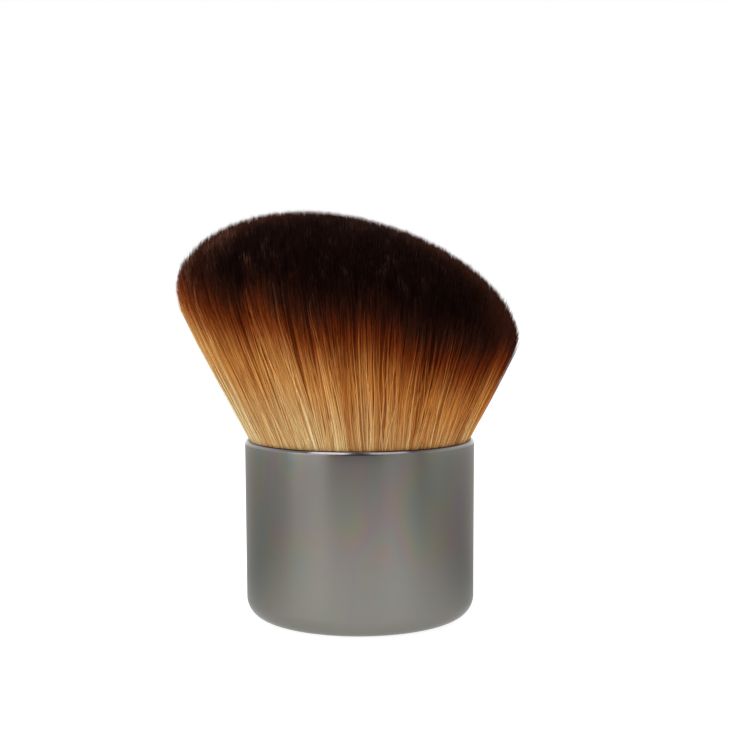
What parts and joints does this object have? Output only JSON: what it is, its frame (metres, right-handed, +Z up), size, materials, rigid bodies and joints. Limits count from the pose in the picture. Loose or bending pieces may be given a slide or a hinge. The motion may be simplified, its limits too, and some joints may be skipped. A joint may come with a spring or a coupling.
{
  "type": "kabuki makeup brush",
  "caption": "Short round makeup brush: a dense fanned tuft with a slanted domed crown, set in a drawn metal cup that it stands on.",
  "frame": {"origin": "centre of the cup's underside, on the surface that the brush stands on", "axes": "+Z up along the cup's axis and through the tuft; the high side of the crown is at -X and the side that faces the viewer is at -Y"},
  "size_m": [0.0532, 0.047, 0.0632],
  "materials": {
    "cup_metal": "satin gunmetal lacquer over drawn aluminium",
    "weight_steel": "turned mild steel",
    "core_plastic": "moulded natural polypropylene",
    "adhesive": "set hot-melt adhesive",
    "sleeve_metal": "bright drawn aluminium",
    "root_resin": "cast resin with filaments in it",
    "filament": "golden synthetic filament with dark brown dyed tips"
  },
  "bodies": {
    "root": {"cup": "cup_metal", "weight_disc": "weight_steel", "core": "core_plastic", "bedding_adhesive": "adhesive", "tuft_sleeve": "sleeve_metal", "root_block": "root_resin", "bristles": "filament"}
  },
  "joints": []
}
